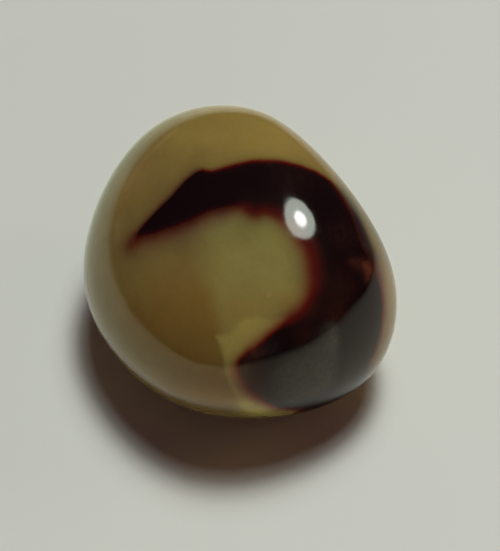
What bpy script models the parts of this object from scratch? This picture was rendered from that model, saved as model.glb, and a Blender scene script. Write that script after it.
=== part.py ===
"""A tumbled piece of mookaite jasper: one smooth, polished stone that rests on a small flat spot."""

import bmesh
import bpy
from math import exp, log, radians
from mathutils import Vector

MM = 0.001

# The stone is a skin drawn over seven lobes, the rounded masses that tumbling left of the rough piece.
# Each lobe is a ball, given by its centre and radius in millimetres: X to the right, Y to the back,
# Z up from the surface that the stone rests on. A small ball makes a tighter corner.
CORNER_RADIUS = 1.5
LOBES = {
    "left flank": ((-5.1, -0.8, 7.6), 7.3),
    "back flank": ((-3.2, 5.5, 10.7), 6.0),
    "front toe": ((-2.2, -7.6, 8.6), 4.9),
    "right foot": ((5.6, -4.8, 7.1), 6.3),
    "front brow": ((1.1, -9.8, 13.9), CORNER_RADIUS),
    "right shoulder": ((8.5, -3.9, 16.2), CORNER_RADIUS),
    "crown": ((1.9, 5.3, 17.4), CORNER_RADIUS),
}
SKIN_SOFTNESS = 1.38  # millimetres: how widely the skin blends where it passes from lobe to lobe

FACING = 5  # subdivisions of the icosphere whose directions the skin's points face
CREASE = radians(6)  # the skin's facets meet at less than this, and the flat spot's rim at more

STONE_COLOUR = (0.36, 0.25, 0.09, 1.0)  # the tan and olive that covers most of the surface
STONE_ROUGHNESS = 0.08
STONE_IOR = 1.54  # quartz


def start_empty():
    """Removes what the scene holds."""
    for thing in list(bpy.data.objects):
        bpy.data.objects.remove(thing, do_unlink=True)


def polished_stone():
    """The stone's base colour under a polish."""
    material = bpy.data.materials.new("polished jasper")
    material.use_nodes = True
    material.diffuse_color = STONE_COLOUR
    shader = material.node_tree.nodes["Principled BSDF"]
    shader.inputs["Base Color"].default_value = STONE_COLOUR
    shader.inputs["Roughness"].default_value = STONE_ROUGHNESS
    shader.inputs["Metallic"].default_value = 0.0
    shader.inputs["IOR"].default_value = STONE_IOR
    return material


def skin_point(facing):
    """The skin's point, in millimetres, where it faces this unit direction.

    A plane with that facing touches each lobe at its own distance from the origin. The skin's distance is
    the soft maximum of them, and the point is where such planes meet.
    """
    reaches = [facing.dot(Vector(centre)) + radius for centre, radius in LOBES.values()]
    furthest = max(reaches)
    pulls = [exp((reach - furthest) / SKIN_SOFTNESS) for reach in reaches]
    total = sum(pulls)
    skin_reach = furthest + SKIN_SOFTNESS * log(total)
    anchor = Vector((0.0, 0.0, 0.0))
    for pull, (centre, _) in zip(pulls, LOBES.values()):
        anchor += Vector(centre) * (pull / total)
    return anchor + facing * (skin_reach - anchor.dot(facing))


def tumbled_form():
    """The whole skin, before the flat spot."""
    form = bmesh.new()
    bmesh.ops.create_icosphere(form, subdivisions=FACING, radius=1.0)
    for vertex in form.verts:
        vertex.co = skin_point(vertex.co.normalized()) * MM
    return form


def grind_flat_spot(form):
    """Cuts off what lies below the resting surface and closes the cut with one flat face."""
    parts = form.verts[:] + form.edges[:] + form.faces[:]
    cut = bmesh.ops.bisect_plane(
        form, geom=parts, plane_co=(0, 0, 0), plane_no=(0, 0, 1), clear_inner=True
    )
    rim = [edge for edge in cut["geom_cut"] if isinstance(edge, bmesh.types.BMEdge)]
    bmesh.ops.holes_fill(form, edges=rim, sides=len(rim))
    bmesh.ops.recalc_face_normals(form, faces=form.faces[:])


def centre_over_origin(form):
    """Moves the stone so that the middle of its footprint's box is over the origin."""
    for axis in (0, 1):
        places = [vertex.co[axis] for vertex in form.verts]
        middle = (min(places) + max(places)) / 2
        for vertex in form.verts:
            vertex.co[axis] -= middle


def make_stone():
    form = tumbled_form()
    grind_flat_spot(form)
    centre_over_origin(form)
    mesh = bpy.data.meshes.new("stone")
    form.to_mesh(mesh)
    form.free()
    mesh.shade_smooth()
    mesh.set_sharp_from_angle(angle=CREASE)
    mesh.materials.append(polished_stone())
    return bpy.data.objects.new("stone", mesh)


def main():
    start_empty()
    collection = bpy.data.collections.new("mookaite jasper")
    bpy.context.scene.collection.children.link(collection)
    collection.objects.link(make_stone())


main()
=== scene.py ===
"""Looks for a tumbled mookaite jasper: its fine skin, its maroon band and its polish, on a pale floor."""

import math

import bpy
import numpy as np
from mathutils import Matrix, Vector
from mathutils.bvhtree import BVHTree


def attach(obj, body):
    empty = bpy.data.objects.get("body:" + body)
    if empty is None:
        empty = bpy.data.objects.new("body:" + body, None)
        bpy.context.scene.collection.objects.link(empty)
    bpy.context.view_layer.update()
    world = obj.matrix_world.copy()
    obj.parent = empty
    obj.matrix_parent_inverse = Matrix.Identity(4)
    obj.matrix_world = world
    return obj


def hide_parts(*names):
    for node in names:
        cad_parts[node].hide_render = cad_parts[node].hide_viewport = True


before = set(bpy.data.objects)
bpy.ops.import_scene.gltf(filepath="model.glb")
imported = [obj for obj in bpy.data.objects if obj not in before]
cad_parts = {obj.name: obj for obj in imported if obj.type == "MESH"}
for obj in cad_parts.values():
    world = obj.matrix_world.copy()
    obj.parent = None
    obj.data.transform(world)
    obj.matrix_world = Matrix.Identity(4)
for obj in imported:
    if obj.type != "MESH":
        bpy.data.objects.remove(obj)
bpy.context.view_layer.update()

MM = 0.001

# The photograph's frame, and the camera that took it. The camera looks at the front of the stone from above.
PHOTO_WIDTH, PHOTO_HEIGHT = 500, 551
SENSOR = 36.0
LENS = 122.3
VIEW_ELEVATION = math.radians(60)
VIEW_DISTANCE = 149.55 * MM
VIEW_AIM = Vector((0.91, -0.06, 7.76)) * MM

# The stone's lobes, as in its solid: centre and radius in millimetres, from the place where it was drawn.
CORNER_RADIUS = 1.5
LOBES = {
    "left flank": ((-5.1, -0.8, 7.6), 7.3),
    "back flank": ((-3.2, 5.5, 10.7), 6.0),
    "front toe": ((-2.2, -7.6, 8.6), 4.9),
    "right foot": ((5.6, -4.8, 7.1), 6.3),
    "front brow": ((1.1, -9.8, 13.9), CORNER_RADIUS),
    "right shoulder": ((8.5, -3.9, 16.2), CORNER_RADIUS),
    "crown": ((1.9, 5.3, 17.4), CORNER_RADIUS),
}
SKIN_SOFTNESS = 1.38
POLISH_DEPTH = 0.012  # millimetres off the skin all round, which keeps it within the faceted solid's box
FINE_FACING = 7
SPOT_ROUNDING = 0.1  # millimetres: how softly the flat spot's rim turns up


def node(tree, kind, values=None, **settings):
    """A new node with these settings. A value is a number, a colour or the socket that feeds it."""
    made = tree.nodes.new(kind)
    for name, value in settings.items():
        setattr(made, name, value)
    for key, value in (values or {}).items():
        if isinstance(value, bpy.types.NodeSocket):
            tree.links.new(value, made.inputs[key])
        else:
            made.inputs[key].default_value = value
    return made


def math_of(tree, operation, *values):
    return node(tree, "ShaderNodeMath", dict(enumerate(values)), operation=operation).outputs[0]


def vector_of(tree, operation, *values):
    made = node(tree, "ShaderNodeVectorMath", dict(enumerate(values)), operation=operation)
    return made.outputs["Value" if operation in ("DOT_PRODUCT", "LENGTH") else "Vector"]


def scaled(tree, vector, factor):
    return node(tree, "ShaderNodeVectorMath", {0: vector, "Scale": factor}, operation="SCALE").outputs[0]


def ranged(tree, value, given, wanted, **settings):
    """The value stretched from the given range to the wanted one, and held within it."""
    ends = {"From Min": given[0], "From Max": given[1], "To Min": wanted[0], "To Max": wanted[1]}
    return node(tree, "ShaderNodeMapRange", {"Value": value, **ends}, **settings).outputs[0]


def socket(tree, name, kind, default=None, output=False):
    """A named input or output of a group."""
    made = tree.interface.new_socket(name, in_out="OUTPUT" if output else "INPUT", socket_type=kind)
    if default is not None:
        made.default_value = default


def placed(name, data):
    """A new object in the scene."""
    made = bpy.data.objects.new(name, data)
    bpy.context.scene.collection.objects.link(made)
    return made


# The stone's form.


def skin_reach(facing):
    """How far, in millimetres, the skin reaches in a direction: the lobes' soft maximum."""
    reaches = [Vector(facing).dot(Vector(centre)) + radius for centre, radius in LOBES.values()]
    return SKIN_SOFTNESS * math.log(sum(math.exp(reach / SKIN_SOFTNESS) for reach in reaches))


def middle_along(axis):
    """The middle, in millimetres, of the drawn stone's box along X or Y."""
    forward = Vector((0.0, 0.0, 0.0))
    forward[axis] = 1.0
    return (skin_reach(forward) - skin_reach(-forward)) / 2


def skin_tree():
    """Geometry nodes that draw the skin over the lobes, from the points of an icosphere."""
    tree = bpy.data.node_groups.new("skin over lobes", "GeometryNodeTree")
    tree.is_modifier = True
    socket(tree, "Geometry", "NodeSocketGeometry", output=True)
    socket(tree, "Facing", "NodeSocketInt", 4)
    socket(tree, "Softness", "NodeSocketFloat", 1.0)
    socket(tree, "Polish Depth", "NodeSocketFloat", 0.0)
    socket(tree, "Spot Rounding", "NodeSocketFloat", 0.1)
    socket(tree, "Shift", "NodeSocketVector")
    socket(tree, "Finish", "NodeSocketMaterial")
    for name in LOBES:
        socket(tree, f"Centre of {name}", "NodeSocketVector")
        socket(tree, f"Radius of {name}", "NodeSocketFloat", 1.0)
    given = node(tree, "NodeGroupInput").outputs

    ball = node(tree, "GeometryNodeMeshIcoSphere", {"Radius": 1.0, "Subdivisions": given["Facing"]})
    facing = vector_of(tree, "NORMALIZE", node(tree, "GeometryNodeInputPosition").outputs[0])
    total, anchor = None, None
    for name in LOBES:
        centre = given[f"Centre of {name}"]
        reach = vector_of(tree, "DOT_PRODUCT", facing, centre)
        reach = math_of(tree, "ADD", reach, given[f"Radius of {name}"])
        pull = math_of(tree, "EXPONENT", math_of(tree, "DIVIDE", reach, given["Softness"]))
        pulled = scaled(tree, centre, pull)
        total = math_of(tree, "ADD", total, pull) if total else pull
        anchor = vector_of(tree, "ADD", anchor, pulled) if anchor else pulled
    anchor = scaled(tree, anchor, math_of(tree, "DIVIDE", 1.0, total))
    reach = math_of(tree, "MULTIPLY", given["Softness"], math_of(tree, "LOGARITHM", total, math.e))
    reach = math_of(tree, "SUBTRACT", reach, given["Polish Depth"])
    step = math_of(tree, "SUBTRACT", reach, vector_of(tree, "DOT_PRODUCT", anchor, facing))
    place = vector_of(tree, "ADD", anchor, scaled(tree, facing, step))

    parts = node(tree, "ShaderNodeSeparateXYZ", {0: vector_of(tree, "ADD", place, given["Shift"])}).outputs
    height = math_of(tree, "SMOOTH_MAX", parts["Z"], 0.0, given["Spot Rounding"])
    rested = node(tree, "ShaderNodeCombineXYZ", {"X": parts["X"], "Y": parts["Y"], "Z": height})
    in_metres = scaled(tree, rested.outputs[0], MM)
    skin = node(tree, "GeometryNodeSetPosition", {"Geometry": ball.outputs["Mesh"], "Position": in_metres})
    skin = node(tree, "GeometryNodeSetShadeSmooth", {"Geometry": skin.outputs[0], "Shade Smooth": True})
    skin = node(tree, "GeometryNodeRealizeInstances", {"Geometry": skin.outputs[0]})
    skin = node(tree, "GeometryNodeSetMaterial", {"Geometry": skin.outputs[0], "Material": given["Finish"]})
    node(tree, "NodeGroupOutput", {"Geometry": skin.outputs[0]})
    return tree


def make_skin(finish):
    """The stone's fine skin as a plain mesh."""
    holder = placed("skin_holder", bpy.data.meshes.new("skin_holder"))
    modifier = holder.modifiers.new("skin", "NODES")
    modifier.node_group = skin_tree()
    values = {
        "Facing": FINE_FACING,
        "Softness": SKIN_SOFTNESS,
        "Polish Depth": POLISH_DEPTH,
        "Spot Rounding": SPOT_ROUNDING,
        "Shift": (-middle_along(0), -middle_along(1), 0.0),
        "Finish": finish,
    }
    for name, (centre, radius) in LOBES.items():
        values[f"Centre of {name}"] = centre
        values[f"Radius of {name}"] = radius
    for item in modifier.node_group.interface.items_tree:
        if item.in_out == "INPUT":
            modifier[item.identifier] = values[item.name]
    graph = bpy.context.evaluated_depsgraph_get()
    mesh = bpy.data.meshes.new_from_object(holder.evaluated_get(graph), depsgraph=graph)
    bpy.data.objects.remove(holder)
    mesh.name = "jasper_stone"
    return placed("jasper_stone", mesh)


# The camera.


def camera_axes():
    """The camera's right, up and backward directions."""
    back = Vector((0.0, -math.cos(VIEW_ELEVATION), math.sin(VIEW_ELEVATION)))
    right = Vector((1.0, 0.0, 0.0))
    return right, back.cross(right), back


def camera_place():
    return VIEW_AIM + camera_axes()[2] * VIEW_DISTANCE


def make_camera():
    data = bpy.data.cameras.new("camera")
    data.sensor_width = SENSOR
    data.lens = LENS
    data.clip_start = 0.01
    data.clip_end = 20.0
    camera = placed("camera", data)
    camera.matrix_world = Matrix.Translation(camera_place()) @ Matrix(camera_axes()).transposed().to_4x4()
    bpy.context.scene.camera = camera


# Places on the skin. One that shows in the photograph is given by its pixel there, and one on the hidden
# side by its azimuth and elevation in degrees, seen from the stone's middle. Azimuth 0 is the front, and 90
# is the right.


class Skin:
    """The stone's fine skin. It finds places on it, and keeps numbers for its points."""

    def __init__(self, stone):
        mesh = stone.data
        self.points = np.empty(len(mesh.vertices) * 3, np.float32)
        mesh.vertices.foreach_get("co", self.points)
        self.points = self.points.reshape(-1, 3).astype(float)
        self.tree = BVHTree.FromPolygons(
            [vertex.co for vertex in mesh.vertices], [face.vertices for face in mesh.polygons]
        )
        self.middle = (self.points.min(axis=0) + self.points.max(axis=0)) / 2
        self.from_middle = np.linalg.norm(self.points - self.middle, axis=1)
        self.mesh = mesh

    def seen(self, across, down):
        """The place on the skin that shows at this pixel."""
        right, up, back = camera_axes()
        pixel = SENSOR / LENS / max(PHOTO_WIDTH, PHOTO_HEIGHT)
        ray = -back + right * ((across - PHOTO_WIDTH / 2) * pixel) - up * ((down - PHOTO_HEIGHT / 2) * pixel)
        place = self.tree.ray_cast(camera_place(), ray.normalized())[0]
        if place is None:
            raise ValueError(f"pixel {across}, {down} isn't on the stone")
        return place

    def hidden(self, azimuth, elevation):
        """The place on the skin in this direction from the stone's middle."""
        a, e = math.radians(azimuth), math.radians(elevation)
        out = Vector((math.sin(a) * math.cos(e), -math.cos(a) * math.cos(e), math.sin(e)))
        return self.tree.ray_cast(Vector(self.middle) + out, -out)[0]

    def directions(self, places):
        offsets = np.asarray(places, float) - self.middle
        return offsets / np.linalg.norm(offsets, axis=-1, keepdims=True)

    def keep(self, name, values):
        """Stores one number for each point of the skin, for the material to read."""
        layer = self.mesh.attributes.new(name, "FLOAT", "POINT")
        layer.data.foreach_set("value", values.astype(np.float32))


VALUE_BLEND = 0.02  # of the stone's radius: how widely an edge's own values blend along it
CURVE_STEPS = 8  # points of a smooth curve from each knot to the next
POINT_GROUPS = 24  # the skin's points are measured in this many groups, to spare memory
MAP_REACH = 1.0001  # just over 1, so that no direction falls off the flat map
ANY_DIRECTION = (0.3, 0.5, 0.8)


def smooth_loop(knots):
    """A closed smooth curve through the knots. A row is a direction, then the edge's own values."""
    before, after, beyond = np.roll(knots, 1, 0), np.roll(knots, -1, 0), np.roll(knots, -2, 0)
    bend = 2 * before - 5 * knots + 4 * after - beyond
    twist = 3 * knots - before - 3 * after + beyond
    rows = []
    for share in np.arange(CURVE_STEPS) / CURVE_STEPS:
        rows.append((2 * knots + (after - before) * share + bend * share**2 + twist * share**3) / 2)
    curve = np.stack(rows, axis=1).reshape(-1, knots.shape[1])
    curve[:, :3] /= np.linalg.norm(curve[:, :3], axis=1, keepdims=True)
    return curve


def smooth_line(knots):
    """The same, open, from the first knot to the last but one."""
    return smooth_loop(knots)[: 1 - 2 * CURVE_STEPS]


def inside(directions, loop):
    """Whether each direction is inside the loop, on a flat map around the loop's middle."""
    centre = loop[:, :3].mean(axis=0)
    centre /= np.linalg.norm(centre)
    side = np.cross(centre, ANY_DIRECTION)
    side /= np.linalg.norm(side)
    flat = np.stack([side, np.cross(centre, side)], axis=1)

    def on_map(d):
        return (d @ flat) / (MAP_REACH + d @ centre)[:, None]

    places, corners = on_map(directions), on_map(loop[:, :3])
    odd = np.zeros(len(directions), bool)
    for (x0, y0), (x1, y1) in zip(corners, np.roll(corners, -1, 0)):
        if y0 == y1:
            continue
        spans = (places[:, 1] < y0) != (places[:, 1] < y1)
        crossing = x0 + (places[:, 1] - y0) * (x1 - x0) / (y1 - y0)
        odd ^= spans & (places[:, 0] < crossing)
    return odd


def nearest_on(directions, curve, closed=True):
    """For each direction, its distance from the curve on a unit ball, and the curve's own values near it."""
    ends = np.roll(curve, -1, 0)
    if not closed:
        curve, ends = curve[:-1], ends[:-1]
    start, run = curve[:, :3], ends[:, :3] - curve[:, :3]
    length = (run**2).sum(axis=1)
    gaps, values = [], []
    for few in np.array_split(directions, POINT_GROUPS):
        along = few @ run.T - (start * run).sum(axis=1)
        share = np.clip(along / length, 0, 1)
        square = ((few[:, None] - start - share[..., None] * run) ** 2).sum(axis=-1)
        say = np.sqrt(length) / (square + VALUE_BLEND**2) ** 2
        gaps.append(np.sqrt(square.min(axis=1)))
        values.append(say @ curve[:, 3:] / say.sum(axis=1, keepdims=True))
    return np.concatenate(gaps), np.concatenate(values)


def edge_of(skin, knots):
    """(how far inside the loop each point of the skin is, in millimetres; the nearest edge's own values)."""
    loop = smooth_loop(knots)
    directions = skin.directions(skin.points)
    gap, values = nearest_on(directions, loop)
    depth = gap * skin.from_middle / MM
    return np.where(inside(directions, loop), depth, -depth), values


def knots_of(skin, *stretches):
    """Rows for smooth_loop. A stretch is (its kind of place, its places, then its edge's own values)."""
    rows = []
    for place, spots, *edge in stretches:
        for spot in spots:
            rows.append([*skin.directions(place(*spot)), *edge])
    return np.array(rows)


# The maroon band. Its edge has a fringe, the width in millimetres over which the stain thins out, a redness,
# from 0 where the edge is plain brown to 1 where light glows red through it, and a haze outside it.

BAND_TIP = [(141, 238.5), (135, 242), (130.5, 245), (133.5, 239.5)]
BAND_UPPER_LEFT = [
    (138, 232.5), (146.3, 222.8), (155.3, 212.8), (165.5, 202.3), (176.5, 191), (188, 179.3), (195.5, 173.2)
]
BAND_NOTCH = [(201, 169.8), (206, 170.6), (212, 171.2), (218, 169.6)]
BAND_TOP = [
    (232, 165.5), (247, 161.8), (262, 160.5), (276, 161), (291, 163.5), (306, 168), (320, 174), (331, 182)
]
BAND_TURN = [(339.5, 193.5), (347.8, 206.4)]
BAND_SHOULDER = [(353.2, 221), (358.2, 236.3), (364.4, 251.2)]
BAND_PINCH = [(371.5, 263), (376.5, 276)]
BAND_RIGHT = [(381, 290), (382.5, 306), (381.5, 324), (378, 341), (373, 355), (368, 367)]
BAND_UNDER = [(47, -24), (42, -42), (31, -50), (20, -45), (19, -33), (23, -22)]
BAND_FOOT = [(298, 410), (281, 408.6), (267, 403.5), (254, 396.2), (243, 386), (237, 373)]
BAND_HEEL = [(238, 362), (245.5, 353.5)]
BAND_UNDER_PATCH = [(255.5, 346), (266.3, 337), (277.6, 327.2)]
BAND_INNER_LOW = [(290, 317), (301.3, 308.2), (308.3, 296)]
BAND_INNER_RIGHT = [(311, 283), (310, 268), (306.6, 251.6), (299.3, 238), (290, 226)]
BAND_INNER_NOOK = [(280, 218), (271, 214.5), (264, 213), (257, 216), (250, 214.5), (243.5, 209)]
BAND_INNER_TOP = [(234, 206.5), (222, 208.5)]
BAND_LOWER_LEFT = [(209, 212.3), (195, 218.8), (181, 224.8)]
BAND_UNDER_TIP = [(165, 230.6), (152, 235)]

# The same stain on the back: a broad tongue, and a vein that rises from it and tapers off. Each has one
# fringe, redness and haze all round.
TONGUE = [
    (-170, 2), (-160, 16), (-143, 19), (-130, 9), (-119, -3), (-101, -12), (-97, -24), (-108, -33),
    (-126, -32), (-138, -46), (-162, -46), (-172, -30), (178, -18), (-178, -6)
]
TONGUE_EDGE = (0.4, 0.8, 0.1)
VEIN = [(-166, 6), (-177, 14), (173, 19), (161, 27), (147, 31), (130, 38), (116, 39)]
VEIN_WIDTH = (0.75, 0.04)  # millimetres, at its root and at its tip
VEIN_EDGE = (0.16, 0.5, 0.1)
LEAST_FRINGE = 0.1  # millimetres
MOST_EDGE = 1.2  # the most that any of an edge's own values may be

# The pale patch under the band's inner edge, the sage field above it and the honey field beside it.
PATCH_LEFT = [(216, 336.5), (221, 347), (224, 361), (227, 376), (231, 389), (238, 401), (248, 412)]
PATCH_FOOT = [(20, -22), (30, -26)]
PATCH_UNDER_BAND = [(300, 400), (270, 385), (256, 368), (262, 350), (278, 338), (296, 324)]
PATCH_TOP = [(284, 317), (273, 320), (258, 317.5), (246, 318), (239, 323.5), (232, 332), (224, 334.5)]
SAGE_TOP_LEFT = [(194, 222), (202, 246), (208, 270)]
SAGE_LEFT = [(214, 298), (219, 322), (223, 341)]
SAGE_UNDER_BAND = [(262, 352), (300, 330), (326, 300), (326, 262), (304, 218), (262, 196), (220, 198)]
HONEY_RIGHT = [(209, 292), (214, 308), (219, 326), (223, 345), (228, 368), (234, 390), (240, 406)]
HONEY_REST = [(215, 410), (174, 396), (143, 371), (112, 345), (112, 318), (135, 300), (160, 290), (185, 284)]
BACK_CREAM = [(64, -26), (80, -13), (98, -2), (120, 10), (140, 13), (136, -3), (112, -16), (86, -30)]
BACK_HONEY = [(172, -14), (178, -30), (160, -44), (132, -46), (112, -34), (122, -20), (146, -14)]
BACK_HONEY_STRENGTH = 0.9

# The misty patch in the band's lower lobe.
MIST_RIGHT = [(331, 324), (337.5, 334), (338, 350), (336, 368), (332, 384)]
MIST_REST = [
    (320, 396), (300, 401), (286, 396), (276, 384), (276, 372),
    (288, 362), (303, 354), (317, 345), (325, 333)
]

# A smoky stripe outside the band's shoulder. The widths here and below are in millimetres.
SMOKE = [(344, 193), (352.5, 206), (358.5, 222.5), (364.5, 239), (371, 255), (376, 266)]
SMOKE_WIDTH = 0.68

# Painted reflection: dark and pale lines, and the pale stripe that they run in, along the inner edge of the
# floor's reflection in the polish at the upper left.
PALE_REFLECTION_LINES = [[(150, 154), (158, 146), (167, 137.5), (177, 129.5), (187, 123)]]
DARK_REFLECTION_LINES = [
    [(114, 222), (118, 211), (123, 199), (130, 186), (139, 172), (148, 160.5), (156, 151)],
    [(153, 146.5), (162, 137), (172, 129), (181, 123.5)],
]
LINE_WIDTH = 0.13
DARK_REFLECTION_WIDTH = LINE_WIDTH * 1.4
PALE_REFLECTION_STRIPE = [
    (112, 226), (117, 209), (124, 193), (132, 177), (143, 160), (156, 145), (168, 133), (182, 122)
]
STRIPE_WIDTH = 0.5
STRIPE_STRENGTH = 0.45
LINE_FADE = (0.15, 0.85)  # the part of half a wave that a line's strength follows from end to end

# Round soft spots where the photograph shows them: (the pixel, the radius in millimetres, the strength).
SEEN_SPOTS = {
    "mustard": [
        ((215, 118), 3.2, 1.0),
        ((250, 128), 3.0, 0.75),
        ((285, 142), 2.5, 0.45),
        ((320, 166), 2.0, 0.35),
        ((175, 132), 2.5, 0.7),
        ((236, 312), 1.6, 0.8),
        ((262, 310), 1.4, 0.7),
        ((289, 303), 1.0, 0.9),
        ((302, 290), 0.7, 0.6),
    ],
    "cream": [
        ((389, 305), 3.0, 0.95),
        ((386, 275), 1.6, 0.5),
        ((386, 335), 2.0, 0.8),
        ((270, 294), 0.16, 0.6),
        ((127, 181), 2.0, 0.2),
        # Painted light: the next two spots lighten the left rim.
        ((117, 223), 0.55, 0.22),
        ((117, 238), 0.55, 0.28),
        ((296, 140), 1.8, 0.12),
    ],
    # Painted light: bright spots that stand in for light the translucent stone carries into its shaded lower
    # front.
    "painted_light_low": [
        ((233, 354), 0.7, 0.2),
        ((233, 372), 0.6, 0.35),
        ((262, 409), 1.3, 1.0),
        ((246, 403), 0.8, 0.7),
        ((280, 413), 0.7, 0.35),
        ((297, 411), 0.7, 0.3),
    ],
    "dusk": [
        ((180, 240), 1.5, 0.12),
        ((204, 236), 1.6, 0.13),
        ((232, 229), 1.7, 0.11),
        ((262, 236), 1.8, 0.07),
    ],
    "glow": [
        ((367, 265), 0.38, 0.8),
        ((369, 272), 0.42, 1.0),
        ((368, 280), 0.3, 0.5),
        ((360, 264), 0.45, 0.42),
        ((352, 262), 0.35, 0.25),
        ((342, 288), 1.3, 0.14),
        ((336, 316), 1.1, 0.2),
        ((305, 334), 0.9, 0.16),
        ((314, 312), 0.6, 0.12),
        ((256, 351.5), 0.6, 0.42),
        ((246, 361), 0.6, 0.22),
        ((345, 236), 1.4, 0.05),
        ((290, 180), 1.6, 0.04),
    ],
    # Pale specks in the stain, and painted reflection: the brighter blotches in the lower lobe where the
    # polish reflects the floor.
    "cloud": [
        ((319, 369), 0.5, 0.8),
        ((325, 374), 0.5, 0.5),
        ((306, 374), 0.6, 0.4),
        ((333, 329), 0.35, 0.6),
        ((335.5, 342), 0.35, 1.0),
        ((291, 400), 0.3, 0.6),
        ((270.5, 164.5), 0.12, 0.25),
        ((273, 346), 0.4, 0.1),
        ((290, 180), 1.6, 0.03),
        ((345, 236), 1.5, 0.035),
    ],
    "heel mist": [((255, 356), 0.8, 0.08), ((269, 353), 0.8, 0.13)],
}

# The same on the hidden side: ((azimuth, elevation), the radius in millimetres, the strength).
HIDDEN_SPOTS = {
    "mustard": [((150, 20), 6.0, 0.8), ((-70, -30), 4.0, 0.6)],
    "cream": [((80, -15), 4.5, 0.9), ((-95, -20), 3.5, 0.5), ((160, -35), 3.0, 0.5)],
}


def bands(skin):
    """The band's depth over the skin, joined with the tongue's and the vein's, and its edge's own values."""
    stretches = (
        (skin.seen, BAND_TIP, 0.6, 0.8, 0.1),
        (skin.seen, BAND_UPPER_LEFT, 0.17, 0.0, 0.55),
        (skin.seen, BAND_NOTCH, 0.13, 0.8, 0.1),
        (skin.seen, BAND_TOP, 0.13, 0.9, 0.18),
        (skin.seen, BAND_TURN, 0.25, 0.7, 0.3),
        (skin.seen, BAND_SHOULDER, 0.4, 0.0, 0.7),
        (skin.seen, BAND_PINCH, 0.5, 0.3, 0.6),
        (skin.seen, BAND_RIGHT, 0.35, 0.3, 0.2),
        (skin.hidden, BAND_UNDER, 0.5, 0.6, 0.4),
        (skin.seen, BAND_FOOT, 0.4, 0.6, 0.0),
        (skin.seen, BAND_HEEL, 0.24, 0.6, 0.0),
        (skin.seen, BAND_UNDER_PATCH, 0.3, 0.55, 0.0),
        (skin.seen, BAND_INNER_LOW, 0.42, 0.9, 0.0),
        (skin.seen, BAND_INNER_RIGHT, 0.5, 1.0, 0.2),
        (skin.seen, BAND_INNER_NOOK, 0.37, 1.0, 0.45),
        (skin.seen, BAND_INNER_TOP, 0.6, 0.3, 0.75),
        (skin.seen, BAND_LOWER_LEFT, 0.6, 0.35, 0.45),
        (skin.seen, BAND_UNDER_TIP, 0.6, 0.35, 0.2),
    )
    depth, edge = edge_of(skin, knots_of(skin, *stretches))
    also, also_edge = edge_of(skin, knots_of(skin, (skin.hidden, TONGUE, *TONGUE_EDGE)))
    edge = np.where((also > depth)[:, None], also_edge, edge)
    depth = np.maximum(depth, also)
    knots = knots_of(skin, (skin.hidden, VEIN))
    knots = np.column_stack([knots, np.linspace(*VEIN_WIDTH, len(knots))])
    gap, width = nearest_on(skin.directions(skin.points), smooth_line(knots), closed=False)
    also = width[:, 0] - gap * skin.from_middle / MM
    edge = np.where((also > depth)[:, None], VEIN_EDGE, edge)
    return np.maximum(depth, also), edge


def soft_field(skin, *stretches):
    """A field inside loops whose one edge value is its softness in millimetres: 0 outside, 1 inside."""
    depth, edge = edge_of(skin, knots_of(skin, *stretches))
    share = np.clip(depth / np.maximum(edge[:, 0], 0.05) / 2 + 0.5, 0, 1)
    return share * share * (3 - 2 * share)


def soft_lines(skin, lines, width):
    """Soft lines that fade out towards both ends: 1 on a line, 0 off it."""
    total = np.zeros(len(skin.points))
    for line in lines:
        knots = knots_of(skin, (skin.seen, line))
        strength = np.sin(np.linspace(*LINE_FADE, len(knots)) * math.pi)
        curve = smooth_line(np.column_stack([knots, strength]))
        gap, share = nearest_on(skin.directions(skin.points), curve, closed=False)
        total += share[:, 0] * np.exp(-((gap * skin.from_middle / MM / width) ** 2))
    return np.clip(total, 0, 1)


def soft_spots(skin, name):
    """The round soft spots of this name: up to 1 on them, 0 off them."""
    spots = [(skin.seen, *spot) for spot in SEEN_SPOTS[name]]
    spots += [(skin.hidden, *spot) for spot in HIDDEN_SPOTS.get(name, [])]
    total = np.zeros(len(skin.points))
    for place, where, radius, strength in spots:
        gap = np.linalg.norm(skin.points - np.array(place(*where)), axis=1) / MM
        total += strength * np.exp(-((gap / radius) ** 2))
    return np.clip(total, 0, 1)


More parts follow.
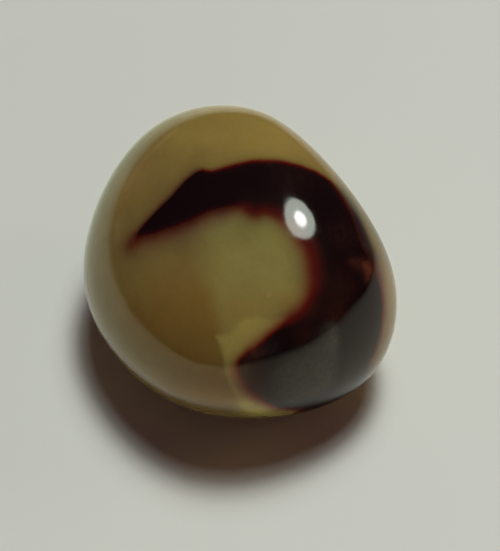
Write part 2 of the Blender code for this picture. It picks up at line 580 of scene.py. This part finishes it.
def mark_skin(skin):
    """Everything the material reads: how far each mark reaches at each point of the skin."""
    seen, hidden = skin.seen, skin.hidden
    depth, edge = bands(skin)
    skin.keep("band_depth", depth)
    for name, least, values in zip(("fringe", "redness", "haze"), (LEAST_FRINGE, 0.0, 0.0), edge.T):
        skin.keep(f"band_{name}", np.clip(values, least, MOST_EDGE))
    patch = knots_of(
        skin, (seen, PATCH_LEFT), (hidden, PATCH_FOOT), (seen, PATCH_UNDER_BAND), (seen, PATCH_TOP)
    )
    skin.keep("patch_depth", edge_of(skin, patch)[0])
    sage = (seen, SAGE_TOP_LEFT, 1.6), (seen, SAGE_LEFT, 1.0), (seen, SAGE_UNDER_BAND, 1.0)
    skin.keep("sage", soft_field(skin, *sage))
    honey = soft_field(skin, (seen, HONEY_RIGHT, 0.9), (seen, HONEY_REST, 2.2))
    back_honey = BACK_HONEY_STRENGTH * soft_field(skin, (hidden, BACK_HONEY, 1.6))
    skin.keep("honey", np.maximum(honey, back_honey))
    mist = soft_field(skin, (seen, MIST_RIGHT, 0.5), (seen, MIST_REST, 1.3))
    skin.keep("mist", np.maximum(mist, soft_spots(skin, "heel mist")))
    # Painted reflection: the pale stripe and pale lines along the edge of the floor's reflection.
    stripe = STRIPE_STRENGTH * soft_lines(skin, [PALE_REFLECTION_STRIPE], STRIPE_WIDTH)
    skin.keep("painted_pale_reflection", np.maximum(stripe, soft_lines(skin, PALE_REFLECTION_LINES, LINE_WIDTH)))
    skin.keep("smoke", soft_lines(skin, [SMOKE], SMOKE_WIDTH) + soft_spots(skin, "dusk"))
    # Painted reflection: the dark lines along the same edge.
    skin.keep("painted_dark_reflection", soft_lines(skin, DARK_REFLECTION_LINES, DARK_REFLECTION_WIDTH))
    skin.keep("mustard", soft_spots(skin, "mustard"))
    back_cream = soft_field(skin, (hidden, BACK_CREAM, 0.8))
    skin.keep("cream", np.maximum(soft_spots(skin, "cream"), back_cream))
    for name in ("painted_light_low", "glow", "cloud"):
        skin.keep(name, soft_spots(skin, name))


# Materials.

OLIVE = (0.235, 0.165, 0.046, 1.0)
MUSTARD = (0.298, 0.218, 0.055, 1.0)
SAGE = (0.285, 0.245, 0.070, 1.0)
HONEY = (0.228, 0.139, 0.031, 1.0)
CREAM = (0.420, 0.310, 0.115, 1.0)
PATCH = (0.380, 0.300, 0.076, 1.0)
# Painted light: the bright colour of the spots on the shaded lower front.
PAINTED_LIGHT_LOW = (0.690, 0.575, 0.138, 1.0)
# Painted reflection: the colour of the darker lines along the edge of the floor's reflection.
DARK_REFLECTION = (0.250, 0.120, 0.035, 1.0)
SMOKY = (0.045, 0.048, 0.034, 1.0)
HAZE = (0.30, 0.28, 0.36, 1.0)
STAIN_BODY = (0.0058, 0.0017, 0.0024, 1.0)
EMBER = (0.0075, 0.0085, 0.0044, 1.0)
GLOW = (0.110, 0.030, 0.015, 1.0)
# The specks' grey, also used for the painted reflection blotches in the lower lobe.
CLOUD_AND_REFLECTION = (0.085, 0.085, 0.055, 1.0)
MIST = (0.072, 0.070, 0.051, 1.0)
HAZE_REACH, EMBER_REACH = 1.1, 1.4  # millimetres
EMBER_STRENGTH = 2.0

# How the stain's fringe takes light away. A pair is the value at a plain edge and what redness adds to it.
INNER_WIDTH = (0.3, 0.65)  # the fringe's width inside the edge, as a share of its width outside
RED_WIDTH, GREEN_WIDTH, BLUE_WIDTH = (1.0, 0.4), (1.0, -0.16), (0.5, 0.15)  # shares of the fringe's width
BLUE_EXTRA = 0.04  # millimetres, on top of blue light's share
RED_DRAW, GREEN_DRAW, BLUE_DRAW = (1.3, -0.45), 2.5, 2.6  # how strongly each colour of light is taken
MOST_STEPS = 3.0  # widths inside the edge, beyond which the stain grows no thicker

# The pale patch fades in across its outline, between these places in millimetres, with a slight wobble.
PATCH_EDGE = (-0.16, 0.22)
PATCH_WOBBLE = 0.05

# Mineral clouds in the ground: their size in millimetres, their seed, their strength and their tint.
GROUND_CLOUDS = (
    (2.6, 3.0, 0.06, (1.0, 0.8, 0.3)),
    (1.1, 11.0, 0.05, (0.4, 1.0, 1.3)),
    (0.28, 23.0, 0.035, (1.0, 1.0, 1.2)),
)
SEED_STEP = (1.0, 1.7, -0.6)  # how far a seed's clouds are from the next seed's, as shares of their size

# The band's edge wobbles with clouds of this size and seed, by this many millimetres.
EDGE_WOBBLES = ((1.2, 71.0, 0.045), (0.25, 83.0, 0.018))

# The polish: even, with a faint waviness and a few duller places.
STONE_IOR = 1.54  # quartz
DULL_CLOUDS = (-0.6, 1.2)  # the cloudiness where the polish is best and where it is dullest
ROUGHNESS = (0.05, 0.085)
WAVE_HEIGHT = 0.0000012  # metres
SMALL_WAVES = 0.12  # how high the small waves are against the broad ones


def mixed_colour(tree, share, under, over):
    made = node(tree, "ShaderNodeMix", {0: share, 6: under, 7: over}, data_type="RGBA")
    return made.outputs[2]


def attribute(tree, name):
    return node(tree, "ShaderNodeAttribute", attribute_name=name).outputs["Fac"]


def growing(tree, value, pair):
    """A number that changes evenly with the value: what it is at 0, and what it gains up to 1."""
    start, gain = pair
    return math_of(tree, "MULTIPLY_ADD", value, gain, start)


def new_material(name, values):
    """A new material whose shader has these values, its node tree and its shader."""
    material = bpy.data.materials.new(name)
    material.use_nodes = True
    shader = material.node_tree.nodes["Principled BSDF"]
    for key, value in values.items():
        shader.inputs[key].default_value = value
    return material, material.node_tree, shader


def stain_group():
    """A dark iron stain under a translucent skin: the ground's colour, dimmed by the stain's thickness."""
    tree = bpy.data.node_groups.new("stain under skin", "ShaderNodeTree")
    socket(tree, "Ground", "NodeSocketColor", OLIVE)
    socket(tree, "Stain", "NodeSocketColor", STAIN_BODY)
    socket(tree, "Depth", "NodeSocketFloat", 0.0)
    socket(tree, "Fringe", "NodeSocketFloat", 0.3)
    socket(tree, "Redness", "NodeSocketFloat", 0.5)
    socket(tree, "Haze", "NodeSocketFloat", 0.5)
    socket(tree, "Haze Tint", "NodeSocketColor", HAZE)
    socket(tree, "Ember", "NodeSocketColor", EMBER)
    socket(tree, "Color", "NodeSocketColor", output=True)
    given = node(tree, "NodeGroupInput").outputs
    redness, fringe = given["Redness"], given["Fringe"]

    outside = math_of(tree, "MINIMUM", given["Depth"], 0.0)
    fade = math_of(tree, "EXPONENT", math_of(tree, "DIVIDE", outside, HAZE_REACH))
    hazed = vector_of(tree, "MULTIPLY", given["Ground"], given["Haze Tint"])
    ground = mixed_colour(tree, math_of(tree, "MULTIPLY", fade, given["Haze"]), given["Ground"], hazed)

    # Light is lost sooner inside the edge than outside it, and red light last.
    deep = math_of(tree, "MAXIMUM", given["Depth"], 0.0)
    red_square = math_of(tree, "POWER", redness, 2.0)
    within = growing(tree, red_square, INNER_WIDTH)
    depth = math_of(tree, "ADD", math_of(tree, "DIVIDE", deep, within), outside)
    red_growth = growing(tree, redness, RED_WIDTH)
    red_inside = math_of(tree, "DIVIDE", math_of(tree, "ADD", redness, 1.0), red_growth)
    red_depth = math_of(tree, "DIVIDE", deep, math_of(tree, "MULTIPLY", within, red_inside))
    red_depth = math_of(tree, "ADD", red_depth, outside)
    red_fringe = math_of(tree, "MULTIPLY", fringe, red_growth)
    green_fringe = math_of(tree, "MULTIPLY", fringe, growing(tree, redness, GREEN_WIDTH))
    blue_fringe = math_of(tree, "MULTIPLY", fringe, growing(tree, redness, BLUE_WIDTH))
    blue_fringe = math_of(tree, "ADD", blue_fringe, BLUE_EXTRA)
    kept = []
    for reach, width, draw in (
        (red_depth, red_fringe, growing(tree, redness, RED_DRAW)),
        (depth, green_fringe, GREEN_DRAW),
        (depth, blue_fringe, BLUE_DRAW),
    ):
        steps = math_of(tree, "MINIMUM", math_of(tree, "DIVIDE", reach, width), MOST_STEPS)
        thickness = math_of(tree, "MULTIPLY", math_of(tree, "EXPONENT", steps), draw)
        kept.append(math_of(tree, "EXPONENT", math_of(tree, "MULTIPLY", thickness, -1.0)))
    share = node(tree, "ShaderNodeCombineColor", dict(zip(("Red", "Green", "Blue"), kept))).outputs[0]

    ember = math_of(tree, "EXPONENT", math_of(tree, "DIVIDE", deep, -EMBER_REACH))
    strength = math_of(tree, "MULTIPLY", red_square, math_of(tree, "MULTIPLY", fringe, EMBER_STRENGTH))
    ember = scaled(tree, given["Ember"], math_of(tree, "MULTIPLY", ember, strength))
    body = vector_of(tree, "ADD", given["Stain"], ember)
    above = vector_of(tree, "MULTIPLY", share, vector_of(tree, "SUBTRACT", ground, body))
    node(tree, "NodeGroupOutput", {"Color": vector_of(tree, "ADD", above, body)})
    return tree


def cloudiness_group():
    """Soft mineral clouds of a size in millimetres, from about -1 to 1."""
    tree = bpy.data.node_groups.new("mineral clouds", "ShaderNodeTree")
    socket(tree, "Size", "NodeSocketFloat", 1.0)
    socket(tree, "Detail", "NodeSocketFloat", 2.0)
    socket(tree, "Seed", "NodeSocketFloat", 0.0)
    socket(tree, "Value", "NodeSocketFloat", output=True)
    given = node(tree, "NodeGroupInput").outputs
    place = scaled(tree, node(tree, "ShaderNodeTexCoord").outputs["Object"], 1 / MM)
    place = scaled(tree, place, math_of(tree, "DIVIDE", 1.0, given["Size"]))
    shift = scaled(tree, SEED_STEP, given["Seed"])
    values = {"Vector": vector_of(tree, "ADD", place, shift), "Scale": 1.0, "Detail": given["Detail"]}
    noise = node(tree, "ShaderNodeTexNoise", values)
    # The noise is mostly between a quarter and three quarters.
    value = math_of(tree, "MULTIPLY_ADD", noise.outputs[0], 4.0, -2.0)
    node(tree, "NodeGroupOutput", {"Value": value})
    return tree


class Clouds:
    """Places the mineral clouds group in a material with its own values."""

    def __init__(self, tree):
        self.tree = tree
        self.group = cloudiness_group()

    def of(self, size, detail, seed):
        values = {"Size": size, "Detail": detail, "Seed": seed}
        return node(self.tree, "ShaderNodeGroup", values, node_tree=self.group).outputs["Value"]


def mottled(tree, colour, cloud, strength, tint):
    """The colour, lighter by the tint where the cloud is dense, and darker where it is thin."""
    change = scaled(tree, tint, math_of(tree, "MULTIPLY", cloud, strength))
    return vector_of(tree, "MULTIPLY", colour, vector_of(tree, "ADD", (1.0, 1.0, 1.0), change))


def ground_colour(tree, clouds):
    """The stone without the maroon stain: each field of colour covers the ones before it, among them painted
    light on the shaded lower front and painted reflection lines at the upper left.
    """
    ground = OLIVE
    for name, colour in (("sage", SAGE), ("mustard", MUSTARD), ("honey", HONEY), ("cream", CREAM)):
        ground = mixed_colour(tree, attribute(tree, name), ground, colour)
    wobble = clouds.of(0.5, 2.0, 31.0)
    patch = math_of(tree, "MULTIPLY_ADD", wobble, PATCH_WOBBLE, attribute(tree, "patch_depth"))
    ground = mixed_colour(tree, ranged(tree, patch, PATCH_EDGE, (0.0, 1.0)), ground, PATCH)
    # Painted light on the shaded lower front.
    ground = mixed_colour(tree, attribute(tree, "painted_light_low"), ground, PAINTED_LIGHT_LOW)
    # Painted reflection: the dark and pale lines along the edge of the floor's reflection.
    for name, strength, colour in (
        ("painted_dark_reflection", 0.35, DARK_REFLECTION),
        ("painted_pale_reflection", 0.5, CREAM),
        ("smoke", 0.95, SMOKY),
    ):
        share = math_of(tree, "MULTIPLY", attribute(tree, name), strength)
        ground = mixed_colour(tree, share, ground, colour)
    for size, seed, strength, tint in GROUND_CLOUDS:
        ground = mottled(tree, ground, clouds.of(size, 3.0, seed), strength, tint)
    return ground


def stain_colour(tree, clouds):
    """The maroon stain's colour, with the places where it is thin or misty, and grey blotches of painted
    reflection in its lower lobe.
    """
    fine, streaks = clouds.of(0.45, 4.0, 47.0), clouds.of(0.3, 4.0, 61.0)
    body = STAIN_BODY
    for name, cloud, share, colour in (
        ("glow", fine, (1.0, 0.5), GLOW),
        ("mist", fine, (0.85, 0.25), MIST),
        # Specks and clouds, with painted reflection blotches in the lower lobe.
        ("cloud", streaks, (0.6, 1.3), CLOUD_AND_REFLECTION),
    ):
        share = math_of(tree, "MULTIPLY", attribute(tree, name), growing(tree, cloud, share))
        body = mixed_colour(tree, math_of(tree, "MAXIMUM", share, 0.0), body, colour)
    return body


def polished_jasper():
    material, tree, shader = new_material("polished jasper", {"IOR": STONE_IOR})
    clouds = Clouds(tree)
    values = {name: attribute(tree, f"band_{name.lower()}") for name in ("Fringe", "Redness", "Haze")}
    depth = attribute(tree, "band_depth")
    for size, seed, wobble in EDGE_WOBBLES:
        depth = math_of(tree, "MULTIPLY_ADD", clouds.of(size, 2.0, seed), wobble, depth)
    values["Depth"] = depth
    values["Ground"] = ground_colour(tree, clouds)
    values["Stain"] = stain_colour(tree, clouds)
    stain = node(tree, "ShaderNodeGroup", values, node_tree=stain_group())
    tree.links.new(stain.outputs["Color"], shader.inputs["Base Color"])
    roughness = ranged(tree, clouds.of(0.9, 3.0, 97.0), DULL_CLOUDS, ROUGHNESS)
    tree.links.new(roughness, shader.inputs["Roughness"])
    waves = math_of(tree, "MULTIPLY_ADD", clouds.of(0.16, 2.0, 5.0), SMALL_WAVES, clouds.of(1.3, 1.0, 13.0))
    bump = node(tree, "ShaderNodeBump", {"Height": waves, "Strength": 1.0, "Distance": WAVE_HEIGHT})
    tree.links.new(bump.outputs[0], shader.inputs["Normal"])
    return material


# Surroundings: a pale floor, a lamp nearly overhead, a weak warm fill from the right and a dim room.

LAMP_PLACE = Vector((47.6, 84.0, 349.8)) * MM
LAMP_POWER = 0.84
LAMP_COLOUR = (1.0, 0.99, 0.96)
LAMP_DISCS = ((31.8, 0.38), (69.8, 0.62))  # radius in millimetres, and its share of the power
LAMP_IN_POLISH = Vector((41.2, 62.9, 349.8)) * MM
HALO_COLOUR = (0.91, 1.0, 0.87, 1.0)
CORE_COLOUR = (1.0, 1.0, 0.97, 1.0)
HALO_GLOW, CORE_GLOW = 7.5, 30.0
HALO_RADIUS, CORE_RADIUS = 47.5, 15.5  # millimetres, as the next three
HALO_SOFTNESS, CORE_SOFTNESS = 5.0, 8.0
DISC_MARGIN = 1.0  # how much wider a disc is than its glow
CORE_AHEAD = 2.0  # how far the core is in front of the halo
FILL_PLACE = Vector((930, 210, 420)) * MM
FILL_STRENGTH, FILL_SPREAD = 0.1773, math.radians(19.7)
FILL_COLOUR = (1.0, 0.52, 0.16)
ROOM_COLOUR, ROOM_STRENGTH = (1.0, 0.42, 0.49, 1.0), 0.044
PAPER = (0.800, 0.862, 0.805, 1.0)
PAPER_ROUGHNESS = 0.9
PAINTED_LIGHT_SLOPE = (0.0005, -0.0021)  # painted light: how much the paper lightens per millimetre to the right and to the back
PAPER_RANGE = (0.93, 1.07)  # the least and the most that the slope comes to
BACKDROP = (0.53, 0.54, 0.48, 1.0)
FAR_FLOOR = (0.512, 0.530, 0.477)  # the backdrop, less what the fill adds
LAMP_POOL = 350.0  # millimetres: about the lamp's height, so it lights the floor well this far
FLOOR_RADIUS = 3.0  # metres
FLOOR_DROP, SHEET_DROP = 0.02, 0.01  # millimetres below what the stone rests on

# The sheet as it looks in the polish, by the azimuth in degrees of the place on it: its painted light and
# tint far from the stone, its painted brightness beside the stone, how high its edge stands over the horizon
# in degrees, and from how far out, in millimetres, it fades.
SHEET_LOOKS = (
    (-180, (1.40, 1.35, 1.15), 1.0, 0.0, 50),
    (-140, (1.20, 1.37, 1.10), 0.9, -1.0, 45),
    (-110, (1.38, 1.48, 1.28), 0.9, 0.5, 60),
    (-97, (1.42, 1.48, 1.24), 0.95, 2.0, 75),
    (-88, (1.44, 1.46, 1.20), 1.0, 1.8, 90),
    (-80, (1.44, 1.43, 1.12), 1.0, 0.0, 100),
    (-66, (1.44, 1.42, 1.04), 1.05, 0.2, 110),
    (-42, (1.56, 1.33, 0.96), 1.05, 0.3, 110),
    (-20, (1.66, 1.24, 0.84), 0.95, 2.0, 110),
    (-5, (1.67, 1.20, 0.78), 0.95, 4.5, 100),
    (5, (0.98, 0.62, 0.50), 0.74, 5.0, 95),
    (15, (0.68, 0.59, 0.54), 0.58, 5.5, 90),
    (26, (0.74, 0.65, 0.58), 0.48, 3.6, 90),
    (33, (0.78, 0.69, 0.62), 0.48, 0.5, 80),
    (47, (0.86, 0.77, 0.70), 0.82, 0.0, 80),
    (58, (0.86, 0.78, 0.70), 1.0, 3.0, 80),
    (67, (0.86, 0.78, 0.70), 1.0, -0.5, 80),
    (77, (0.90, 0.82, 0.75), 0.95, -2.0, 80),
    (86, (0.93, 0.87, 0.80), 0.9, -1.0, 70),
    (103, (0.91, 0.91, 0.92), 0.82, 1.0, 50),
    (128, (0.68, 0.72, 0.66), 0.65, 5.0, 45),
    (150, (1.10, 1.08, 0.98), 0.85, 5.0, 45),
    (180, (1.40, 1.35, 1.15), 1.0, 0.0, 50),
)
BESIDE_STONE = (15.0, 20.0)  # millimetres from the stone's middle: where the sheet's two looks blend
STONE_MIDDLE = 7.8  # millimetres above the floor
SHEET_FLAT = 60.0  # millimetres: how far out the sheet lies flat
SHEET_EDGE = 200.0  # millimetres: where the sheet seen in the polish ends
RING_SPREAD = 1.5  # how much closer its rings are near the stone


def fade_group():
    """1 at the middle of an object and 0 beyond, with a soft edge between two radii in millimetres."""
    tree = bpy.data.node_groups.new("round fade", "ShaderNodeTree")
    socket(tree, "Within", "NodeSocketFloat", 1.0)
    socket(tree, "Beyond", "NodeSocketFloat", 2.0)
    socket(tree, "Share", "NodeSocketFloat", output=True)
    given = node(tree, "NodeGroupInput").outputs
    place = scaled(tree, node(tree, "ShaderNodeTexCoord").outputs["Object"], 1 / MM)
    radius = vector_of(tree, "LENGTH", place)
    within_beyond = given["Within"], given["Beyond"]
    share = ranged(tree, radius, within_beyond, (1.0, 0.0), interpolation_type="SMOOTHSTEP")
    node(tree, "NodeGroupOutput", {"Share": share})
    return tree


def new_paper(name):
    return new_material(name, {"Roughness": PAPER_ROUGHNESS, "Specular IOR Level": 0.0})


def paper_material():
    """Pale paper, with painted light that lightens it to the right and darkens it to the back. Where the
    lamp's light thins out, the floor glows for the camera in the far floor's colour instead.
    """
    material, tree, shader = new_paper("paper")
    place = node(tree, "ShaderNodeTexCoord").outputs["Object"]
    parts = node(tree, "ShaderNodeSeparateXYZ", {0: place}).outputs
    # Painted light: the paper lightens to the right and darkens to the back.
    painted_light_slope = math_of(tree, "MULTIPLY_ADD", parts["X"], PAINTED_LIGHT_SLOPE[0] / MM, 1.0)
    painted_light_slope = math_of(tree, "MULTIPLY_ADD", parts["Y"], PAINTED_LIGHT_SLOPE[1] / MM, painted_light_slope)
    limits = dict(zip(("Min", "Max"), PAPER_RANGE))
    painted_light_slope = node(tree, "ShaderNodeClamp", {"Value": painted_light_slope, **limits}).outputs[0]
    tree.links.new(scaled(tree, PAPER[:3], painted_light_slope), shader.inputs["Base Color"])

    # The lamp's light on the floor falls off with the square of 1 + (distance / height) squared.
    out = vector_of(tree, "LENGTH", scaled(tree, place, 1 / MM / LAMP_POOL))
    lit = math_of(tree, "ADD", math_of(tree, "MULTIPLY", out, out), 1.0)
    unlit = math_of(tree, "SUBTRACT", 1.0, math_of(tree, "POWER", lit, -2.0))
    seen = node(tree, "ShaderNodeLightPath").outputs["Is Camera Ray"]
    tree.links.new(scaled(tree, FAR_FLOOR, unlit), shader.inputs["Emission Color"])
    tree.links.new(seen, shader.inputs["Emission Strength"])
    return material


def sheet_material():
    """The sheet as the polish shows it, from the look that its mesh keeps, which holds painted light and
    shade.
    """
    material, tree, shader = new_paper("paper seen in polish")
    look = node(tree, "ShaderNodeAttribute", attribute_name="look").outputs["Color"]
    tree.links.new(look, shader.inputs["Base Color"])
    return material


def glow_material(name, colour, strength, radius, softness, fade):
    """A round glow with a soft edge, clear outside it."""
    values = {
        "Base Color": (0.0, 0.0, 0.0, 1.0),
        "Specular IOR Level": 0.0,
        "Emission Color": colour,
        "Emission Strength": strength,
    }
    material, tree, shader = new_material(name, values)
    edge = {"Within": radius - softness, "Beyond": radius + softness}
    share = node(tree, "ShaderNodeGroup", edge, node_tree=fade)
    tree.links.new(share.outputs[0], shader.inputs["Alpha"])
    return material


def flat_disc(name, radius, material):
    corners = 96
    ring = []
    for k in range(corners):
        turn = k * math.tau / corners
        ring.append((radius * math.cos(turn), radius * math.sin(turn), 0.0))
    mesh = bpy.data.meshes.new(name)
    mesh.from_pydata(ring, [], [list(range(corners))])
    mesh.materials.append(material)
    return placed(name, mesh)


def raised_sheet(material):
    """A round sheet whose outer part stands up, as high as each side of the room looks bright."""
    corners, rings = 120, 40
    azimuths, far_painted_light, beside_painted_light, rises, fades = zip(*SHEET_LOOKS)
    far_painted_light = np.array(far_painted_light)
    points, faces, looks = [], [], []
    for ring in range(1, rings + 1):
        radius = SHEET_EDGE * (ring / rings) ** RING_SPREAD
        lift = np.clip((radius - SHEET_FLAT) / (SHEET_EDGE - SHEET_FLAT), 0, 1) ** 2
        for corner in range(corners):
            azimuth = 360 * corner / corners - 180
            rise = math.radians(np.interp(azimuth, azimuths, rises))
            height = lift * (STONE_MIDDLE + SHEET_EDGE * math.tan(rise)) - SHEET_DROP
            turn = math.radians(azimuth)
            points.append((radius * math.sin(turn) * MM, -radius * math.cos(turn) * MM, height * MM))
            away = np.interp(radius, BESIDE_STONE, (0, 1))
            kept = 1 - np.interp(radius, (np.interp(azimuth, azimuths, fades), SHEET_EDGE), (0, 1))
            kept *= kept * (3 - 2 * kept)
            for part in range(3):
                tint = np.interp(azimuth, azimuths, far_painted_light[:, part])
                beside = np.interp(azimuth, azimuths, beside_painted_light)
                looks.append(PAPER[part] * kept * (beside + (tint - beside) * away))
            looks.append(1.0)
            if ring < rings:
                here, next_to = (ring - 1) * corners + corner, (ring - 1) * corners + (corner + 1) % corners
                faces.append((here, next_to, next_to + corners, here + corners))
    faces.append(list(range(corners - 1, -1, -1)))
    mesh = bpy.data.meshes.new("sheet_seen_in_polish")
    mesh.from_pydata(points, [], faces)
    mesh.attributes.new("look", "FLOAT_COLOR", "POINT").data.foreach_set("color", looks)
    mesh.shade_smooth()
    mesh.materials.append(material)
    return placed("sheet_seen_in_polish", mesh)


def show_only_to(thing, *kinds):
    """Leaves the thing out of every kind of ray but these."""
    for kind in ("camera", "diffuse", "glossy", "transmission", "volume_scatter", "shadow"):
        setattr(thing, f"visible_{kind}", kind in kinds)


def make_floor():
    floor = flat_disc("floor", FLOOR_RADIUS, paper_material())
    floor.location.z = -FLOOR_DROP * MM
    show_only_to(floor, "camera", "diffuse", "transmission", "shadow")
    sheet = raised_sheet(sheet_material())
    show_only_to(sheet, "glossy")


def aim_at_stone(thing, place):
    thing.location = place
    thing.rotation_euler = (VIEW_AIM - place).to_track_quat("-Z", "Y").to_euler()


def make_light(name, kind, place, energy, colour):
    """A light that the polish doesn't show. Glowing discs stand for the lamp there."""
    data = bpy.data.lights.new(name, kind)
    data.energy = energy
    data.color = colour
    light = placed(name, data)
    aim_at_stone(light, place)
    show_only_to(light, "diffuse", "transmission", "shadow")
    return data


def glowing_disc(name, colour, glow, radius, softness, place, fade):
    """A round glow that only the polish shows."""
    material = glow_material(f"lamp {name}", colour, glow, radius, softness, fade)
    disc = flat_disc(f"lamp_{name}_in_polish", (radius + softness + DISC_MARGIN) * MM, material)
    aim_at_stone(disc, place)
    show_only_to(disc, "glossy")
    return disc


def make_lights(fade):
    for radius, share in LAMP_DISCS:
        lamp = make_light("lamp", "AREA", LAMP_PLACE, LAMP_POWER * share, LAMP_COLOUR)
        lamp.shape = "DISK"
        lamp.size = 2 * radius * MM
    fill = make_light("fill", "SUN", FILL_PLACE, FILL_STRENGTH, FILL_COLOUR)
    fill.angle = FILL_SPREAD
    place = LAMP_IN_POLISH
    halo = glowing_disc("halo", HALO_COLOUR, HALO_GLOW, HALO_RADIUS, HALO_SOFTNESS, place, fade)
    place = LAMP_IN_POLISH - (LAMP_IN_POLISH - VIEW_AIM).normalized() * CORE_AHEAD * MM
    core = glowing_disc("core", CORE_COLOUR, CORE_GLOW, CORE_RADIUS, CORE_SOFTNESS, place, fade)


def make_room():
    world = bpy.data.worlds.new("room")
    bpy.context.scene.world = world
    world.use_nodes = True
    tree = world.node_tree
    tree.nodes.clear()
    seen = node(tree, "ShaderNodeLightPath").outputs["Is Camera Ray"]
    dim = node(tree, "ShaderNodeBackground", {"Color": ROOM_COLOUR, "Strength": ROOM_STRENGTH})
    pale = node(tree, "ShaderNodeBackground", {"Color": BACKDROP, "Strength": 1.0})
    mixed = node(tree, "ShaderNodeMixShader", {0: seen, 1: dim.outputs[0], 2: pale.outputs[0]})
    node(tree, "ShaderNodeOutputWorld", {"Surface": mixed.outputs[0]})


def main():
    bpy.context.scene.view_settings.view_transform = "Standard"
    stone = make_skin(polished_jasper())
    skin = Skin(stone)
    mark_skin(skin)
    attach(stone, "root")
    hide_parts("stone")
    make_camera()
    make_floor()
    make_lights(fade_group())
    make_room()


main()
